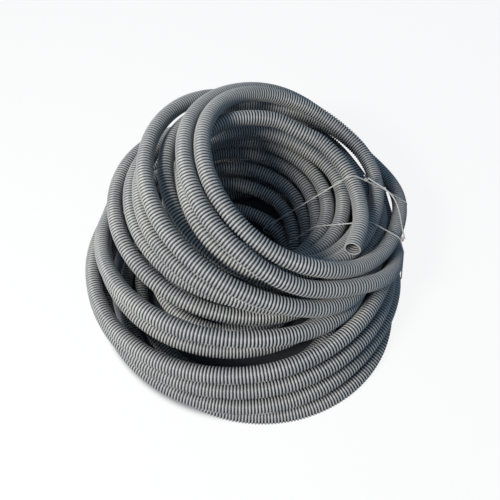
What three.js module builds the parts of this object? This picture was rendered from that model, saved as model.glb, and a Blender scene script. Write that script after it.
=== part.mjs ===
// A coil of ribbed waste-water hose, gathered at one side by two turns of tie cord.
// Millimetres, +Z up. The coil rests on the floor z = 0 with the origin under its middle.
// Azimuths run from +X, the tied side, towards +Y, the far side.
import * as THREE from 'three';

// ---- Hose ----
const hoseDiameter = 28.5; // over the rib crests
const hoseWall = 2.5; // from a rib's crest to the bore, which is 23.5 across
const ribPitch = 5.7;
const ribDepth = 1.8; // rib crest to the valley beside it
const endPieceLength = 30; // straight cut end tucked in under the lip
const jointGap = 0.3; // between two lengths of the same hose

// ---- How the turns lie against each other and on the floor ----
const turnGap = 1.3; // clear space kept between neighbouring turns
const freeEndRoom = 2.6; // more of it round the free end, which bends without corners
const flatDepth = hoseDiameter / 10; // how far the lowest turns are pressed flat
const restHeight = hoseDiameter / 2 - flatDepth; // of the lowest turns' middles
const straightRun = hoseDiameter; // the hose leaves each cut end straight for this length

// ---- Tie cord ----
const tieDiameter = 2.4;
const tieClearance = 0.6; // between the cord and the hose
const knotRadius = 3;
const knotStrand = 1;
const tieTailLength = 26;
const linkRise = 10; // how far the cord between the knots rises over the hose
const linkCrest = 0.55; // and where along it, from the far knot to the near one
const tieTailWay = [-0.35, -0.5, 0.8]; // inwards, nearer and up
const tailOffset = 4; // from the middle of the far knot
const cordSides = 8;

// ---- Coil ----
const stepsPerLap = 24;
const coilSides = 6;
const ribSides = 8;
const boreRingEvery = 5; // ribs
const freeEndSteps = 7; // steps of the route that the ribbed free end takes
const startAzimuth = THREE.MathUtils.degToRad(326); // the free end's mouth
const endAzimuth = THREE.MathUtils.degToRad(66); // past the last lap
const lapChange = 0.14; // each lap turns into the next over this share of a turn either side
const wallChange = 0.5; // the outer wall's last lap needs more after it, to reach the inner wall

// Each lap is a tilted ring: centre x, centre y, half its width, half its depth, then its height
// at the left (-X) and at the tied side (+X), and how much higher its near side (-Y) is.
const firstPart = [17, -35, 162, 181, 293, 222, 0]; // where the free end comes out
const outerLaps = [ // the lip, and the outer wall from the top down to the floor
  [26, -24, 158, 155, 293, 205, -24],
  [75, 15, 177, 197, 330, 160, -2],
  [76, 25, 198, 228, 326, 112, 8],
  [40, 33, 204, 208, 284, 141, 2],
  [30, 6, 223, 238, 308, 132, 11],
  [5, 8, 218, 228, 250, 112, 17],
  [-27, 15, 210, 216, 222, 118, 8],
  [-38, 15, 231, 238, 208, 90, 13],
  [-37, -27, 258, 250, 158, 92, 72],
  [-57, -7, 253, 254, 115, 79, 4],
  [-46, -32, 288, 285, 85, 108, 42],
  [-36, -25, 304, 305, 66, 76, 26],
  [-27, -49, 296, 296, 40, 44, 8],
  [5, -78, 273, 275, restHeight, restHeight, 0],
];
const innerLaps = [ // the inner wall, from the floor up
  [-40, -60, 225, 225, restHeight, restHeight, 0],
  [-60, -62, 148, 148, 62, 36, 0],
  [-64, -74, 140, 140, 94, 58, -5],
  [-52, -34, 142, 142, 124, 82, -10],
  [-38, -10, 145, 144, 156, 106, -5],
  [-24, 14, 148, 148, 188, 128, 5],
  [-6, 14, 152, 154, 224, 150, 5],
  [24, 2, 158, 162, 258, 165, 5],
];
const lastPart = [-32, 13, 280, 165, 290, 155, 0]; // the end tucked in under the lip
const laps = [firstPart, ...outerLaps, ...innerLaps, lastPart];

// Each tie goes round every turn that crosses the line from its inner to its outer point, the
// far one over the free end and the near one under it. Its knot is seen at this angle above
// the middle of the loop, from the outside.
const ties = [
  { name: 'tie_far', inner: [-50, 20], outer: [330, 28], firstTurn: 0, knotAngle: 68 },
  { name: 'tie_near', inner: [-50, 5], outer: [345, -97], firstTurn: 0.5, knotAngle: 38 },
];
const tieLift = tieDiameter + tieClearance; // the turns ride over the cord under them
const tieLiftSpan = 3; // steps of the route either side of a tie

// ---- Materials ----
const hoseGrey = new THREE.MeshStandardMaterial({ color: 0x8b8f93, roughness: 0.55, metalness: 0 });
const cordWhite = new THREE.MeshStandardMaterial({ color: 0xd9dadb, roughness: 0.5, metalness: 0 });

const up = new THREE.Vector3(0, 0, 1);

// ---- The route of the hose ----

function pointOnLap([x, y, halfWidth, halfDepth, left, right, lift], azimuth) {
  const across = Math.cos(azimuth);
  const back = Math.sin(azimuth);
  const height = (left + right) / 2 - ((left - right) / 2) * across - lift * back;
  return new THREE.Vector3(x + halfWidth * across, y + halfDepth * back, height);
}

// The point after some number of turns, 1 being the first whole lap at azimuth 0. The laps
// change from one to the next as they pass the tied side.
function routePoint(turns) {
  const next = Math.round(turns);
  const after = THREE.MathUtils.clamp(next, 0, laps.length - 1);
  const before = THREE.MathUtils.clamp(next - 1, 0, laps.length - 1);
  const width = next === outerLaps.length + 1 ? wallChange : lapChange;
  const share = THREE.MathUtils.smoothstep(turns - next, -lapChange, width);
  const azimuth = turns * 2 * Math.PI;
  return pointOnLap(laps[before], azimuth).lerp(pointOnLap(laps[after], azimuth), share);
}

// Pairs of a route step and a later one that could touch it: on another turn, and alongside.
function neighbourPairs(count) {
  const reach = 3;
  const pairs = [];
  for (let i = 0; i < count; i++) {
    for (let j = i + stepsPerLap / 2; j < count; j++) {
      const offset = (j - i) % stepsPerLap;
      if (offset <= reach || offset >= stepsPerLap - reach) pairs.push([i, j]);
    }
  }
  return pairs;
}

// The shortest way from one step, at a share along it, to another step.
function between(points, i, shareI, j) {
  const from = points[i].clone().lerp(points[i + 1], shareI);
  const step = points[j + 1].clone().sub(points[j]);
  const along = from.clone().sub(points[j]).dot(step) / step.lengthSq();
  const shareJ = THREE.MathUtils.clamp(along, 0, 1);
  const away = from.sub(step.multiplyScalar(shareJ).add(points[j]));
  return { away, shareJ, distance: away.length() };
}

function distanceToTie(point, tie) {
  const inner = new THREE.Vector2(...tie.inner);
  const line = new THREE.Vector2(...tie.outer).sub(inner);
  const fromInner = new THREE.Vector2(point.x, point.y).sub(inner);
  const beside = fromInner.cross(line) / line.length();
  return fromInner.dot(line) > 0 ? Math.abs(beside) : Infinity;
}

// The lowest that the hose's centre line may lie: on the floor, or over the cord at a tie.
function lowestAt(point) {
  const stepLength = (2 * Math.PI * outerLaps.at(-1)[2]) / stepsPerLap;
  const nearest = Math.min(...ties.map((tie) => distanceToTie(point, tie)));
  const share = THREE.MathUtils.smoothstep(tieLiftSpan * stepLength - nearest, 0, 2 * stepLength);
  return restHeight + (flatDepth + tieLift) * share;
}

// Pushes the turns apart until each keeps its clear space, as they are when hose is wound.
function settle(points) {
  const rounds = 260;
  const lastRounds = 40; // these no longer share a push out along the hose
  const testShares = [0, 1 / 3, 2 / 3];
  const longestPush = 4;
  const pairs = neighbourPairs(points.length - 1);
  const last = points.length - 1;
  for (let round = 0; round < rounds; round++) {
    let pushes = points.map(() => new THREE.Vector3());
    for (const [i, j] of pairs) {
      const wanted = hoseDiameter + turnGap + (i <= freeEndSteps + 1 ? freeEndRoom : 0);
      for (const share of testShares) {
        const { away, shareJ, distance } = between(points, i, share, j);
        if (distance >= wanted) continue;
        away.multiplyScalar((wanted - distance) / distance / (2 * testShares.length));
        pushes[i].addScaledVector(away, 1 - share);
        pushes[i + 1].addScaledVector(away, share);
        pushes[j].addScaledVector(away, shareJ - 1);
        pushes[j + 1].addScaledVector(away, -shareJ);
      }
    }
    pushes.forEach((push) => push.clampLength(0, longestPush));
    if (round < rounds - lastRounds) pushes = shareOut(shareOut(pushes));
    points.forEach((point, i) => {
      point.add(pushes[i]);
      point.z = Math.max(point.z, lowestAt(point));
    });
    points[freeEndSteps].addVectors(points[freeEndSteps - 1], points[freeEndSteps + 1]).divideScalar(2);
    points[last].copy(points[last - 1]).multiplyScalar(2).sub(points[last - 2]);
  }
}

function shareOut(pushes) {
  return pushes.map((push, i) => {
    const before = pushes[Math.max(i - 1, 0)];
    const after = pushes[Math.min(i + 1, pushes.length - 1)];
    return push.clone().multiplyScalar(2).add(before).add(after).divideScalar(4);
  });
}

function leastGap(points) {
  const shares = Array.from({ length: 8 }, (_, k) => k / 8);
  let least = Infinity;
  for (const [i, j] of neighbourPairs(points.length - 1)) {
    for (const share of shares) {
      least = Math.min(least, between(points, i, share, j).distance - hoseDiameter);
    }
  }
  return least;
}

function hoseRoute() {
  const firstTurn = startAzimuth / (2 * Math.PI);
  const lastTurn = laps.length - 1 + endAzimuth / (2 * Math.PI);
  const count = Math.round((lastTurn - firstTurn) * stepsPerLap);
  const points = Array.from({ length: count + 1 }, (_, i) => routePoint(firstTurn + i / stepsPerLap));
  settle(points);
  const box = new THREE.Box3().setFromPoints(points);
  const middle = box.getCenter(new THREE.Vector3()).setZ(0);
  return { points: points.map((point) => point.sub(middle)), middle };
}

// ---- Geometry ----

// A ring of points square to the hose, its first point level with the middle and outward.
function ring(centre, tangent, radius, sides) {
  const side = tangent.clone().cross(up).normalize();
  const top = side.clone().cross(tangent);
  return Array.from({ length: sides }, (_, k) => {
    const angle = (k / sides) * 2 * Math.PI;
    return centre.clone()
      .addScaledVector(side, radius * Math.cos(angle))
      .addScaledVector(top, radius * Math.sin(angle));
  });
}

// A closed skin over a row of rings: capped at both ends, or with the last joined to the first.
function skin(rings, looped) {
  const sides = rings[0].length;
  const index = [];
  const rows = looped ? rings.length : rings.length - 1;
  for (let row = 0; row < rows; row++) {
    const next = (row + 1) % rings.length;
    for (let k = 0; k < sides; k++) {
      const l = (k + 1) % sides;
      const corners = [row * sides + k, next * sides + k, next * sides + l, row * sides + l];
      index.push(corners[0], corners[1], corners[2], corners[0], corners[2], corners[3]);
    }
  }
  if (!looped) {
    const end = (rings.length - 1) * sides;
    for (let k = 1; k < sides - 1; k++) index.push(0, k, k + 1, end, end + k + 1, end + k);
  }
  const geometry = new THREE.BufferGeometry();
  geometry.setAttribute('position', new THREE.Float32BufferAttribute(
    rings.flat().flatMap((point) => point.toArray()), 3));
  geometry.setIndex(index);
  geometry.computeVertexNormals();
  return geometry;
}

function tangentsAlong(points, closed) {
  const n = points.length;
  return points.map((point, i) => {
    const before = closed ? points[(i + n - 1) % n] : points[Math.max(i - 1, 0)];
    const after = closed ? points[(i + 1) % n] : points[Math.min(i + 1, n - 1)];
    const arriving = point.clone().sub(before).normalize();
    const leaving = after.clone().sub(point).normalize();
    return arriving.add(leaving).normalize();
  });
}

// The coil: one unbroken tube with a ring at each step, pressed flat where it meets the floor.
function coilGeometry(points) {
  const tangents = tangentsAlong(points, false);
  const rings = points.map((point, i) => ring(point, tangents[i], hoseDiameter / 2, coilSides));
  rings.flat().forEach((corner) => { corner.z = Math.max(corner.z, 0); });
  return skin(rings, false);
}

// A ribbed length with its bore: out along the crests and valleys, and back along the bore.
function ribbedGeometry(curve) {
  const length = curve.getLength();
  const ribs = Math.round(length / ribPitch);
  const outside = Array.from({ length: 2 * ribs + 1 }, (_, k) => {
    const radius = hoseDiameter / 2 - (k % 2) * ribDepth;
    return ring(curve.getPointAt(k / (2 * ribs)), curve.getTangentAt(k / (2 * ribs)), radius, ribSides);
  });
  const boreRings = Math.ceil(ribs / boreRingEvery);
  const inside = Array.from({ length: boreRings + 1 }, (_, k) => {
    const share = 1 - k / boreRings;
    return ring(curve.getPointAt(share), curve.getTangentAt(share), hoseDiameter / 2 - hoseWall, ribSides);
  });
  return skin([...outside, ...inside], true);
}

function towards(from, to, distance) {
  return from.clone().add(to.clone().sub(from).setLength(distance));
}

// The free end bends smoothly through the route's points, straight at its mouth and its root.
function freeEndCurve(points) {
  const root = points[freeEndSteps];
  const beforeRoot = points[freeEndSteps - 1];
  const control = [
    points[0],
    towards(points[0], points[1], straightRun),
    ...points.slice(1, freeEndSteps),
    towards(root, beforeRoot, straightRun),
    towards(root, beforeRoot, jointGap / 2),
  ];
  const curve = new THREE.CatmullRomCurve3(control, false, 'centripetal');
  curve.arcLengthDivisions = 600;
  return curve;
}

// ---- Tie cords ----

// The hose's skin where a tie's plane cuts it, as distance along the tie's line and height.
function skinInPlane(points, tie) {
  const inner = new THREE.Vector3(...tie.inner, 0);
  const outer = new THREE.Vector3(...tie.outer, 0);
  const reach = outer.distanceTo(inner);
  const along = outer.clone().sub(inner).normalize();
  const across = along.clone().cross(up);
  const cordMiddle = hoseDiameter / 2 + tieClearance + tieDiameter / 2;
  const sampleLength = 2;
  const around = 24;
  const tangents = tangentsAlong(points, false);
  const found = [];
  for (let i = tie.firstTurn * stepsPerLap; i < points.length - 1; i++) {
    const step = points[i + 1].clone().sub(points[i]);
    const samples = Math.ceil(step.length() / sampleLength);
    for (let k = 0; k < samples; k++) {
      const centre = points[i].clone().addScaledVector(step, k / samples);
      const distance = centre.clone().sub(inner).dot(along);
      if (distance < 0 || distance > reach) continue;
      if (Math.abs(centre.clone().sub(inner).dot(across)) > hoseDiameter) continue;
      const direction = tangents[i].clone().lerp(tangents[i + 1], k / samples).normalize();
      for (const corner of ring(centre, direction, cordMiddle, around)) {
        corner.sub(inner);
        if (Math.abs(corner.dot(across)) < tieDiameter) {
          found.push(new THREE.Vector2(corner.dot(along), corner.z));
        }
      }
    }
  }
  return { found, toSpace: ({ x, y }) => inner.clone().addScaledVector(along, x).setZ(y) };
}

// The outline of a cord pulled tight round a set of points, anticlockwise.
function tightOutline(points) {
  const sorted = [...points].sort((a, b) => a.x - b.x || a.y - b.y);
  const turnsLeft = (a, b, c) => (b.x - a.x) * (c.y - a.y) - (b.y - a.y) * (c.x - a.x) > 0;
  const half = (list) => {
    const chain = [];
    for (const point of list) {
      while (chain.length > 1 && !turnsLeft(chain.at(-2), chain.at(-1), point)) chain.pop();
      chain.push(point);
    }
    return chain.slice(0, -1);
  };
  return [...half(sorted), ...half(sorted.reverse())];
}

// The tie's loop of cord as points, with the place of its knot and the way out from there.
function tieLoop(points, tie) {
  const { found, toSpace } = skinInPlane(points, tie);
  const outline = tightOutline(found);
  const spaced = [outline[0]];
  for (const point of outline) {
    if (point.distanceTo(spaced.at(-1)) > tieDiameter) spaced.push(point);
  }
  const centre = new THREE.Box2().setFromPoints(spaced).getCenter(new THREE.Vector2());
  const knotAngle = THREE.MathUtils.degToRad(tie.knotAngle);
  const ray = new THREE.Vector2(Math.cos(knotAngle), Math.sin(knotAngle));
  const sideOf = (point) => ray.cross(point.clone().sub(centre));
  const k = spaced.findIndex((point, i) => {
    const next = spaced[(i + 1) % spaced.length];
    return sideOf(point) <= 0 && sideOf(next) > 0 && next.clone().sub(centre).dot(ray) > 0;
  });
  const from = spaced[k];
  const to = spaced[(k + 1) % spaced.length];
  const share = sideOf(from) / (sideOf(from) - sideOf(to));
  const knot = toSpace(from.clone().lerp(to, share));
  const edge = to.clone().sub(from).normalize();
  const outwards = toSpace(new THREE.Vector2(edge.y, -edge.x)).sub(toSpace(new THREE.Vector2()));
  return { loop: spaced.map(toSpace), knot, outwards };
}

function cordRing(centre, tangent, flatNormal) {
  const side = tangent.clone().cross(flatNormal).normalize();
  const top = side.clone().cross(tangent);
  return Array.from({ length: cordSides }, (_, k) => {
    const angle = (k / cordSides) * 2 * Math.PI;
    return centre.clone()
      .addScaledVector(side, (tieDiameter / 2) * Math.cos(angle))
      .addScaledVector(top, (tieDiameter / 2) * Math.sin(angle));
  });
}

// The loop lies in one upright plane, so its sections are turned about that plane's normal.
function loopGeometry(loop) {
  const normal = loop[1].clone().sub(loop[0]).cross(loop[2].clone().sub(loop[1])).normalize();
  const tangents = tangentsAlong(loop, true);
  return skin(loop.map((point, i) => cordRing(point, tangents[i], normal)), true);
}

const knotThickness = knotRadius + 2 * knotStrand;
const knotMiddle = tieDiameter / 2 + jointGap + knotThickness / 2; // from the cord's middle

function knotMesh(name, { knot, outwards }) {
  const made = mesh(name, new THREE.TorusKnotGeometry(knotRadius, knotStrand, 40, 6, 2, 3), cordWhite);
  made.position.copy(knot).addScaledVector(outwards, knotMiddle);
  made.quaternion.setFromUnitVectors(up, outwards);
  return made;
}

// A loose cord from a point on one knot, over the points given, to its own end.
function looseCord(name, points, steps) {
  const curve = new THREE.CatmullRomCurve3(points, false, 'centripetal');
  const rings = Array.from({ length: steps + 1 }, (_, k) => (
    cordRing(curve.getPointAt(k / steps), curve.getTangentAt(k / steps), up)));
  return mesh(name, skin(rings, false), cordWhite);
}

// ---- Scene graph ----
const { points: route, middle } = hoseRoute();
for (const tie of ties) {
  for (const end of [tie.inner, tie.outer]) {
    end[0] -= middle.x;
    end[1] -= middle.y;
  }
}
const hoseLength = route.slice(1).reduce((sum, point, i) => sum + point.distanceTo(route[i]), 0);
console.log('hose length m', (hoseLength / 1000).toFixed(2));
console.log('least gap of the hose to itself mm', leastGap(route).toFixed(2));

function mesh(name, geometry, material) {
  const made = new THREE.Mesh(geometry, material);
  made.name = name;
  return made;
}

const end = route.at(-1);
const endPieceRoot = towards(end, route.at(-2), endPieceLength);
const coilPoints = [
  towards(route[freeEndSteps], route[freeEndSteps + 1], jointGap / 2),
  ...route.slice(freeEndSteps + 1, -1),
  towards(endPieceRoot, route.at(-2), jointGap),
];

const hoseKit = new THREE.Group();
hoseKit.add(
  mesh('hose_free_end', ribbedGeometry(freeEndCurve(route)), hoseGrey),
  mesh('hose_coil', coilGeometry(coilPoints), hoseGrey),
  mesh('hose_tucked_end', ribbedGeometry(new THREE.LineCurve3(endPieceRoot, end)), hoseGrey),
);

const loops = ties.map((tie) => tieLoop(route, tie));
loops.forEach((tied, i) => hoseKit.add(
  mesh(`${ties[i].name}_wrap`, loopGeometry(tied.loop), cordWhite),
  knotMesh(`${ties[i].name}_knot`, tied),
));

// The cord runs on from the far knot to the near one, and ends in a short tail.
const knotTop = knotMiddle + knotThickness / 2 + tieClearance + tieDiameter / 2;
const [farTop, nearTop] = loops.map(({ knot, outwards }) => (
  knot.clone().addScaledVector(outwards, knotTop)));
const over = farTop.clone().lerp(nearTop, linkCrest).setZ(farTop.z + linkRise);
hoseKit.add(looseCord('tie_link', [farTop, over, nearTop], 20));
const tailWay = new THREE.Vector3(...tieTailWay).normalize();
const tailStart = farTop.clone().setX(farTop.x - tailOffset).addScaledVector(tailWay, tieDiameter / 2);
const tailEnd = tailStart.clone().addScaledVector(tailWay, tieTailLength);
hoseKit.add(looseCord('tie_tail', [tailStart, tailEnd], 3));

export default hoseKit;
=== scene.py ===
# A loose, leaning coil of grey ribbed waste hose for a caravan, gathered at one side by two
# loops of thin pale cord. It stands on its lowest turns on a plain pale floor.
import math

import bmesh
import bpy
import numpy as np
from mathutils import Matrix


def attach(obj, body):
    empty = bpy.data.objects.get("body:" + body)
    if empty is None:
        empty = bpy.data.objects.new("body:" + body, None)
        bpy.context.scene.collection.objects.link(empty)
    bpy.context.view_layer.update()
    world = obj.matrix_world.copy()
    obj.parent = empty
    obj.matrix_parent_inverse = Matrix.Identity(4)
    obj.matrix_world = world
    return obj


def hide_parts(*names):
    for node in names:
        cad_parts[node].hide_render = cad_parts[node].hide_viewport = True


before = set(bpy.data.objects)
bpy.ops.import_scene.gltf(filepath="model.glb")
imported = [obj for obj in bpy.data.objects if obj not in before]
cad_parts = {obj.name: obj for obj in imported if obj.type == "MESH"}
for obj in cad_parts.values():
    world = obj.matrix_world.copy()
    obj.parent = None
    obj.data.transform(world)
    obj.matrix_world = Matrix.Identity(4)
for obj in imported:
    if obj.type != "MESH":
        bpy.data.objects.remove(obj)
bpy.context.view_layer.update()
scene = bpy.context.scene

# ---- The route of the hose ----
# One length of hose runs once round the lip, down the outer wall of the coil to the floor, and
# up the inner wall. Each lap is a tilted ring; then the turns push each other apart.
mm = 0.001
hose_diameter = 28.5 * mm
turn_gap = 1.3 * mm
free_end_room = 2.6 * mm
flat_depth = hose_diameter / 10
rest_height = hose_diameter / 2 - flat_depth
steps_per_lap = 24
free_end_steps = 7
start_turn = 326 / 360
end_turn = 66 / 360
lap_change = 0.14
wall_change = 0.5
tie_diameter = 2.4 * mm
tie_lift = tie_diameter + 0.6 * mm
tie_lift_span = 3

# Centre x, centre y, half width, half depth, height at the left, height at the tied side,
# lift of the near side. The lip comes first, then the outer wall from the top down to the
# floor, then the inner wall from the floor up.
rest = rest_height / mm
first_part = [17, -35, 162, 181, 293, 222, 0]
outer_laps = [
    [26, -24, 158, 155, 293, 205, -24],
    [75, 15, 177, 197, 330, 160, -2],
    [76, 25, 198, 228, 326, 112, 8],
    [40, 33, 204, 208, 284, 141, 2],
    [30, 6, 223, 238, 308, 132, 11],
    [5, 8, 218, 228, 250, 112, 17],
    [-27, 15, 210, 216, 222, 118, 8],
    [-38, 15, 231, 238, 208, 90, 13],
    [-37, -27, 258, 250, 158, 92, 72],
    [-57, -7, 253, 254, 115, 79, 4],
    [-46, -32, 288, 285, 85, 108, 42],
    [-36, -25, 304, 305, 66, 76, 26],
    [-27, -49, 296, 296, 40, 44, 8],
    [5, -78, 273, 275, rest, rest, 0],
]
inner_laps = [
    [-40, -60, 225, 225, rest, rest, 0],
    [-60, -62, 148, 148, 62, 36, 0],
    [-64, -74, 140, 140, 94, 58, -5],
    [-52, -34, 142, 142, 124, 82, -10],
    [-38, -10, 145, 144, 156, 106, -5],
    [-24, 14, 148, 148, 188, 128, 5],
    [-6, 14, 152, 154, 224, 150, 5],
    [24, 2, 158, 162, 258, 165, 5],
]
last_part = [-32, 13, 280, 165, 290, 155, 0]
laps = np.array([first_part, *outer_laps, *inner_laps, last_part]) * mm

# The lines that the two ties lie on, from the middle of the coil outwards.
tie_lines = np.array([[[-50, 20], [330, 28]], [[-50, 5], [345, -97]]]) * mm


def smoothstep(value, low, high):
    share = np.clip((value - low) / (high - low), 0, 1)
    return share * share * (3 - 2 * share)


def points_on_laps(chosen, azimuth):
    x, y, half_width, half_depth, left, right, lift = chosen.T
    across = np.cos(azimuth)
    back = np.sin(azimuth)
    height = (left + right) / 2 - (left - right) / 2 * across - lift * back
    return np.stack([x + half_width * across, y + half_depth * back, height], axis=1)


def unsettled_route():
    count = round((len(laps) - 1 + end_turn - start_turn) * steps_per_lap)
    turns = start_turn + np.arange(count + 1) / steps_per_lap
    change = np.floor(turns + 0.5).astype(int)
    width = np.where(change == len(outer_laps) + 1, wall_change, lap_change)
    share = smoothstep(turns - change, -lap_change, width)[:, None]
    azimuth = turns * math.tau
    before = points_on_laps(laps[np.clip(change - 1, 0, len(laps) - 1)], azimuth)
    after = points_on_laps(laps[np.clip(change, 0, len(laps) - 1)], azimuth)
    return before * (1 - share) + after * share


def lowest_at(points):
    step_length = math.tau * laps[len(outer_laps), 2] / steps_per_lap
    nearest = np.full(len(points), np.inf)
    for inner, outer in tie_lines:
        line = (outer - inner) / np.linalg.norm(outer - inner)
        from_inner = points[:, :2] - inner
        beside = np.abs(from_inner[:, 0] * line[1] - from_inner[:, 1] * line[0])
        beside[from_inner @ line <= 0] = np.inf
        nearest = np.minimum(nearest, beside)
    share = smoothstep(tie_lift_span * step_length - nearest, 0, 2 * step_length)
    return rest_height + (flat_depth + tie_lift) * share


def shared_out(pushes):
    padded = np.concatenate([pushes[:1], pushes, pushes[-1:]])
    return (2 * pushes + padded[:-2] + padded[2:]) / 4


def settle(points):
    rounds = 260
    last_rounds = 40
    longest_push = 4 * mm
    reach = 3
    test_shares = (0, 1 / 3, 2 / 3)
    i, j = np.triu_indices(len(points) - 1, steps_per_lap // 2)
    offset = (j - i) % steps_per_lap
    beside = (offset <= reach) | (offset >= steps_per_lap - reach)
    i, j = i[beside], j[beside]
    wanted = hose_diameter + turn_gap + np.where(i <= free_end_steps + 1, free_end_room, 0)
    for turn in range(rounds):
        pushes = np.zeros_like(points)
        for share in test_shares:
            near = points[i] * (1 - share) + points[i + 1] * share
            step = points[j + 1] - points[j]
            along = np.einsum("nk,nk->n", near - points[j], step) / np.einsum("nk,nk->n", step, step)
            along = np.clip(along, 0, 1)[:, None]
            away = near - points[j] - step * along
            distance = np.linalg.norm(away, axis=1)
            close = distance < wanted
            push = (wanted - distance) / distance / (2 * len(test_shares))
            push = away[close] * push[close, None]
            np.add.at(pushes, i[close], push * (1 - share))
            np.add.at(pushes, i[close] + 1, push * share)
            np.add.at(pushes, j[close], push * (along[close] - 1))
            np.add.at(pushes, j[close] + 1, -push * along[close])
        length = np.linalg.norm(pushes, axis=1, keepdims=True)
        pushes *= np.minimum(1, longest_push / np.maximum(length, 1e-12))
        if turn < rounds - last_rounds:
            pushes = shared_out(shared_out(pushes))
        points += pushes
        points[:, 2] = np.maximum(points[:, 2], lowest_at(points))
        points[free_end_steps] = (points[free_end_steps - 1] + points[free_end_steps + 1]) / 2
        points[-1] = 2 * points[-2] - points[-3]
    return points


route = settle(unsettled_route())
middle = (route.min(axis=0) + route.max(axis=0)) / 2 * [1, 1, 0]
route -= middle

# ---- Camera ----
# It looks down into the coil from in front, from near enough for the lip to look larger.
camera_elevation = math.radians(57.8)
camera_distance = 1.0
camera_aim = np.array([-18, 0, 18]) * mm - middle
camera_data = bpy.data.cameras.new("camera")
camera_data.sensor_width = 36
camera_data.lens = 32.4
camera = bpy.data.objects.new("camera", camera_data)
camera.location = camera_aim + camera_distance * np.array(
    [0, -math.cos(camera_elevation), math.sin(camera_elevation)])
camera.rotation_euler = (math.pi / 2 - camera_elevation, 0, 0)
scene.collection.objects.link(camera)
scene.camera = camera


# ---- Materials as sums ----
# Shading sums are written as expressions on the sockets that they come from. An input is given
# by its name, or by its number after an i.
class Wire:
    def __init__(self, tree, socket):
        self.tree = tree
        self.socket = socket

    def node(self, kind, settings=None, output=0, **values):
        made = self.tree.nodes.new(kind)
        for name, setting in (settings or {}).items():
            setattr(made, name, setting)
        for name, value in values.items():
            slot = int(name[1:]) if name[1:].isdigit() else name.replace("_", " ")
            socket = made.inputs[slot]
            if isinstance(value, Wire):
                self.tree.links.new(value.socket, socket)
            else:
                socket.default_value = value
        return Wire(self.tree, made.outputs[output])

    def sum(self, operation, first, second):
        return self.node("ShaderNodeMath", {"operation": operation}, i0=first, i1=second)

    def __add__(self, other):
        return self.sum("ADD", self, other)

    def __radd__(self, other):
        return self.sum("ADD", other, self)

    def __sub__(self, other):
        return self.sum("SUBTRACT", self, other)

    def __rsub__(self, other):
        return self.sum("SUBTRACT", other, self)

    def __mul__(self, other):
        return self.sum("MULTIPLY", self, other)

    def __rmul__(self, other):
        return self.sum("MULTIPLY", other, self)

    def fraction(self):
        return self.node("ShaderNodeMath", {"operation": "FRACT"}, i0=self)

    def distance_to(self, other):
        return self.node("ShaderNodeMath", {"operation": "ABSOLUTE"}, i0=self - other)

    def between(self, low, high):
        settings = {"interpolation_type": "SMOOTHSTEP"}
        return self.node("ShaderNodeMapRange", settings, i0=self, i1=low, i2=high)

    def blend(self, first, second):
        settings = {"data_type": "RGBA"}
        return self.node("ShaderNodeMix", settings, output=2, i0=self, i6=first, i7=second)


def new_material(name):
    material = bpy.data.materials.new(name)
    material.use_nodes = True
    tree = material.node_tree
    shader = tree.nodes["Principled BSDF"]
    return material, Wire(tree, None), shader


# ---- Hose plastic ----
# Satin grey plastic in a mottled tone, scuffed lighter on the rib crests, which also carry a painted
# highlight, with near-black painted shade in the grooves between them.
hose_plastic, wire, shader = new_material("hose_plastic")
lengthways = wire.node("ShaderNodeUVMap", {"uv_map": "along_and_round"})
across = wire.node("ShaderNodeSeparateXYZ", i0=lengthways, output=0)
in_metres = wire.node("ShaderNodeTexCoord", output=3)
mottle = wire.node("ShaderNodeTexNoise", Vector=in_metres, Scale=9.0, Detail=4.0, Roughness=0.6)
scuffs = wire.node("ShaderNodeTexNoise", Vector=in_metres, Scale=220.0, Detail=3.0, Roughness=0.7)
rib = across.fraction()
groove = 1 - rib.distance_to(0.5).between(0.17, 0.31)
plain = mottle.between(0.35, 0.65).blend((0.33, 0.333, 0.335, 1), (0.42, 0.415, 0.4, 1))
# Scuff wear and a painted highlight: random patches on the rib crests are painted lighter.
scuffed_and_highlit = (scuffs.between(0.45, 0.8) * (1 - groove) * 0.5).blend(plain, (0.55, 0.54, 0.52, 1))
# Painted shade: the grooves between the ribs are painted near black, standing in for the shade down in
# them.
painted_groove_shade = (groove * 0.97).blend(scuffed_and_highlit, (0.014, 0.016, 0.02, 1))
wire.tree.links.new(painted_groove_shade.socket, shader.inputs["Base Color"])
roughness = 0.42 + scuffs.between(0.3, 0.8) * 0.16
wire.tree.links.new(roughness.socket, shader.inputs["Roughness"])
grain = wire.node("ShaderNodeTexNoise", Vector=in_metres, Scale=900.0, Detail=2.0)
bump = wire.node("ShaderNodeBump", Height=grain, Strength=0.12, Distance=0.0004)
wire.tree.links.new(bump.socket, shader.inputs["Normal"])

# ---- Ribbed hose ----
# Thin-walled plastic hose with a ring rib every 5.7 mm, moulded in one with its smooth bore.
# It is one piece from mouth to mouth; here it is made in lengths that meet end to end.
rib_pitch = 5.7 * mm
rib_shares = np.array([0.0, 0.19, 0.33, 0.67, 0.81])
rib_depths = np.array([0.0, 0.1, 1.9, 1.9, 0.1]) * mm
hose_wall = 2.5 * mm
hose_sides = 24
bore_ripple = 0.2 * mm
mouth_rounding = 0.3 * mm
straight_run = hose_diameter
samples_per_step = 12
ribs_per_path_point = 3


def straightened(points):
    first = (points[1] - points[0]) / np.linalg.norm(points[1] - points[0])
    last = (points[-2] - points[-1]) / np.linalg.norm(points[-2] - points[-1])
    return np.concatenate([
        points[:1],
        [points[0] + first * straight_run],
        points[1:-1],
        [points[-1] + last * straight_run],
        points[-1:],
    ])


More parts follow.
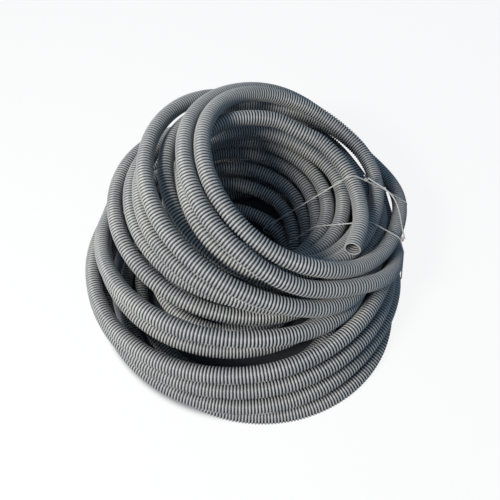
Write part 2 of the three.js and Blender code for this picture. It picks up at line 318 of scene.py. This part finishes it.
def smooth_line(points):
    """A bending line through the points, sampled finely, with how far along it each sample is."""
    chord = np.linalg.norm(np.diff(points, axis=0), axis=1)
    count = len(points)
    system = np.eye(count)
    slopes = np.zeros_like(points)
    rise = np.diff(points, axis=0) / chord[:, None]
    for k in range(1, count - 1):
        system[k, k - 1:k + 2] = chord[k - 1], 2 * (chord[k - 1] + chord[k]), chord[k]
        slopes[k] = 6 * (rise[k] - rise[k - 1])
    bend = np.linalg.solve(system, slopes)
    t = np.linspace(0, 1, samples_per_step, endpoint=False)[None, :, None]
    h = chord[:, None, None]
    start, end = points[:-1, None], points[1:, None]
    line = (start * (1 - t) + end * t
            + ((1 - t) ** 3 - (1 - t)) * h**2 / 6 * bend[:-1, None]
            + (t**3 - t) * h**2 / 6 * bend[1:, None]).reshape(-1, 3)
    line = np.concatenate([line, points[-1:]])
    along = np.concatenate([[0], np.cumsum(np.linalg.norm(np.diff(line, axis=0), axis=1))])
    return line, along


hose_line, hose_along = smooth_line(straightened(route))
hose_tangent = np.gradient(hose_line, hose_along, axis=0)
hose_tangent /= np.linalg.norm(hose_tangent, axis=1, keepdims=True)


def on_hose(stations):
    centre = np.stack([np.interp(stations, hose_along, hose_line[:, k]) for k in range(3)], axis=1)
    tangent = np.stack([np.interp(stations, hose_along, hose_tangent[:, k]) for k in range(3)], axis=1)
    return centre, tangent / np.linalg.norm(tangent, axis=1, keepdims=True)


def ribbed_tube(name, stations, radii):
    """A skin round the hose's line, rolled up from a flat grid, and closed at both ends."""
    rows = len(stations)
    sheet = bmesh.new()
    bmesh.ops.create_grid(sheet, x_segments=hose_sides, y_segments=rows - 1, size=1)
    mesh = bpy.data.meshes.new(name)
    sheet.to_mesh(mesh)
    sheet.free()
    centre, tangent = on_hose(stations)
    side = np.cross(tangent, [0, 0, 1])
    side /= np.linalg.norm(side, axis=1, keepdims=True)
    top = np.cross(side, tangent)
    angle = np.linspace(0, math.tau, hose_sides + 1)
    out = side[:, None] * np.cos(angle)[None, :, None] + top[:, None] * np.sin(angle)[None, :, None]
    skin = centre[:, None] + out * radii[:, None, None]
    skin[:, :, 2] = np.maximum(skin[:, :, 2], 0)
    mesh.vertices.foreach_set("co", skin.reshape(-1))
    uv_layer = mesh.uv_layers.new(name="along_and_round")
    corners = np.empty(len(mesh.loops), dtype=int)
    mesh.loops.foreach_get("vertex_index", corners)
    ribs = np.repeat(stations / rib_pitch, hose_sides + 1)
    round_share = np.tile(angle / math.tau, rows)
    uv_layer.uv.foreach_set("vector", np.stack([ribs, round_share], axis=1)[corners].reshape(-1))
    rolled = bmesh.new()
    rolled.from_mesh(mesh)
    rolled.verts.ensure_lookup_table()
    seam = [v for k in range(rows) for v in
            (rolled.verts[k * (hose_sides + 1)], rolled.verts[(k + 1) * (hose_sides + 1) - 1])]
    bmesh.ops.remove_doubles(rolled, verts=seam, dist=0.01 * mm)
    open_edges = [edge for edge in rolled.edges if edge.is_boundary]
    bmesh.ops.holes_fill(rolled, edges=open_edges)
    bmesh.ops.recalc_face_normals(rolled, faces=rolled.faces)
    rolled.to_mesh(mesh)
    rolled.free()
    mesh.polygons.foreach_set("use_smooth", np.ones(len(mesh.polygons), dtype=bool))
    mesh.materials.append(hose_plastic)
    piece = bpy.data.objects.new(name, mesh)
    scene.collection.objects.link(piece)
    return piece


def rib_rings(first_rib, last_rib):
    ribs = np.arange(first_rib, last_rib)
    stations = (ribs[:, None] + rib_shares[None, :]).reshape(-1) * rib_pitch
    radii = np.tile(hose_diameter / 2 - rib_depths, len(ribs))
    stations = np.append(stations, last_rib * rib_pitch)
    return stations, np.append(radii, hose_diameter / 2 - rib_depths[0])


def bore_rings(first_rib, end_rib):
    stations = np.arange(first_rib, end_rib, -0.5) * rib_pitch
    ripple = bore_ripple * (np.arange(len(stations)) % 2)
    return stations, hose_diameter / 2 - hose_wall + ripple


def declare_hose(piece, first_rib, last_rib, nodes):
    path_steps = (last_rib - first_rib) // ribs_per_path_point
    stations = np.linspace(first_rib, last_rib, path_steps + 1) * rib_pitch
    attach(piece, "root")
    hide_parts(*nodes)


total_ribs = int(hose_along[-1] / rib_pitch)
free_end_ribs = 52
far_bore_ribs = 12
length_count = 12
joints = np.linspace(free_end_ribs, total_ribs, length_count + 1).astype(int)

# The free end starts at its open mouth, so its skin turns in there and runs back down the bore.
stations, radii = rib_rings(0, free_end_ribs)
bore_stations, bore_radii = bore_rings(free_end_ribs - 1, -1)
free_end = ribbed_tube(
    "hose_mouth_end",
    np.concatenate([bore_stations, [0], stations]),
    np.concatenate([bore_radii, [hose_diameter / 2 - hose_wall + mouth_rounding], radii]),
)
declare_hose(free_end, 0, free_end_ribs, ["hose_free_end"])

for number, (first, last) in enumerate(zip(joints[:-1], joints[1:]), start=1):
    stations, radii = rib_rings(first, last)
    nodes = ["hose_coil"]
    if last == total_ribs:
        bore_stations, bore_radii = bore_rings(total_ribs, total_ribs - far_bore_ribs)
        stations = np.append(stations, bore_stations)
        radii = np.append(radii, bore_radii)
        nodes.append("hose_tucked_end")
    piece = ribbed_tube(f"hose_length_{number:02d}", stations, radii)
    declare_hose(piece, first, last, nodes)

# ---- Tie cord ----
# Thin pale twisted cord, pulled round all the turns and knotted, with a short tail.
cord_fibre, wire, shader = new_material("cord_fibre")
in_metres = wire.node("ShaderNodeTexCoord", output=3)
fibre = wire.node("ShaderNodeTexNoise", Vector=in_metres, Scale=700.0, Detail=3.0)
pale = fibre.between(0.3, 0.7).blend((0.4, 0.39, 0.37, 1), (0.62, 0.6, 0.57, 1))
wire.tree.links.new(pale.socket, shader.inputs["Base Color"])
shader.inputs["Roughness"].default_value = 0.6
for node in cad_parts:
    if node.startswith("tie_"):
        tie = bpy.data.objects[node]
        tie.data.materials.clear()
        tie.data.materials.append(cord_fibre)

# ---- Floor ----
# A plain floor, wide enough for every view, that keeps the coil's soft shadow. The camera sees it as
# white, except under the coil, where a painted shadow makes it near black; all other rays see it dark
# grey.
floor_half = 6.0
footprint_scale = (2.9, 2.75, 0)
footprint_shift = (0, -0.07, 0)
glow_share = 0.9
sheet = bmesh.new()
bmesh.ops.create_grid(sheet, x_segments=1, y_segments=1, size=floor_half)
floor_mesh = bpy.data.meshes.new("floor")
sheet.to_mesh(floor_mesh)
sheet.free()
floor = bpy.data.objects.new("floor", floor_mesh)
scene.collection.objects.link(floor)
floor_and_painted_shadow, wire, shader = new_material("floor_and_painted_shadow")
shader.inputs["Roughness"].default_value = 0.9
seen = wire.node("ShaderNodeLightPath", output=0)
in_metres = wire.node("ShaderNodeTexCoord", output=3)
under_coil = wire.node(
    "ShaderNodeVectorMath", {"operation": "MULTIPLY_ADD"},
    i0=in_metres, i1=footprint_scale, i2=footprint_shift)
from_middle = wire.node("ShaderNodeVectorMath", {"operation": "LENGTH"}, output=1, i0=under_coil)
around = seen * from_middle.between(0.93, 0.98)
# Painted shadow: under the coil the floor is painted near black, lightening to dark grey at the edge
# of the footprint.
painted_shadow = from_middle.between(0.7, 0.93).blend((0.05, 0.055, 0.06, 1), (0.22, 0.23, 0.24, 1))
# Only camera rays outside the footprint see the floor pale; other rays see the painted shadow's dark
# grey.
floor_colour = around.blend(painted_shadow, (0.8, 0.8, 0.8, 1))
wire.tree.links.new(floor_colour.socket, shader.inputs["Base Color"])
glow = wire.node("ShaderNodeEmission", Color=(1, 1, 1, 1), Strength=1.0)
painted = Wire(wire.tree, shader.outputs[0])
shown = wire.node("ShaderNodeMixShader", i0=around * glow_share, i1=painted, i2=glow)
wire.tree.links.new(shown.socket, wire.tree.nodes["Material Output"].inputs["Surface"])
floor_mesh.materials.append(floor_and_painted_shadow)

# ---- Light ----
# One warm lamp, high and to the front left, and a dim bluish room that the camera sees as white.
world = bpy.data.worlds.new("room")
world.use_nodes = True
scene.world = world
room = world.node_tree.nodes["Background"]
room.inputs["Color"].default_value = (0.48, 0.72, 1, 1)
room.inputs["Strength"].default_value = 0.36
room_wire = Wire(world.node_tree, None)
seen = room_wire.node("ShaderNodeLightPath", output=0)
white = room_wire.node("ShaderNodeBackground", Color=(1, 1, 1, 1), Strength=1.0)
plain_room = Wire(world.node_tree, room.outputs[0])
shown = room_wire.node("ShaderNodeMixShader", i0=seen, i1=plain_room, i2=white)
world.node_tree.links.new(shown.socket, world.node_tree.nodes["World Output"].inputs["Surface"])


def soft_lamp(name, position, size, power, colour):
    data = bpy.data.lights.new(name, "AREA")
    data.size = size
    data.energy = power
    data.color = colour
    lamp = bpy.data.objects.new(name, data)
    lamp.location = position
    aim = -np.array(position)
    lamp.rotation_euler = (
        math.atan2(math.hypot(aim[0], aim[1]), -aim[2]), 0, math.atan2(-aim[0], aim[1]))
    scene.collection.objects.link(lamp)


warm_white = (1, 0.97, 0.91)
soft_lamp("key", position=(-1.1, -0.95, 1.5), size=0.5, power=46, colour=warm_white)

scene.view_settings.view_transform = "Standard"
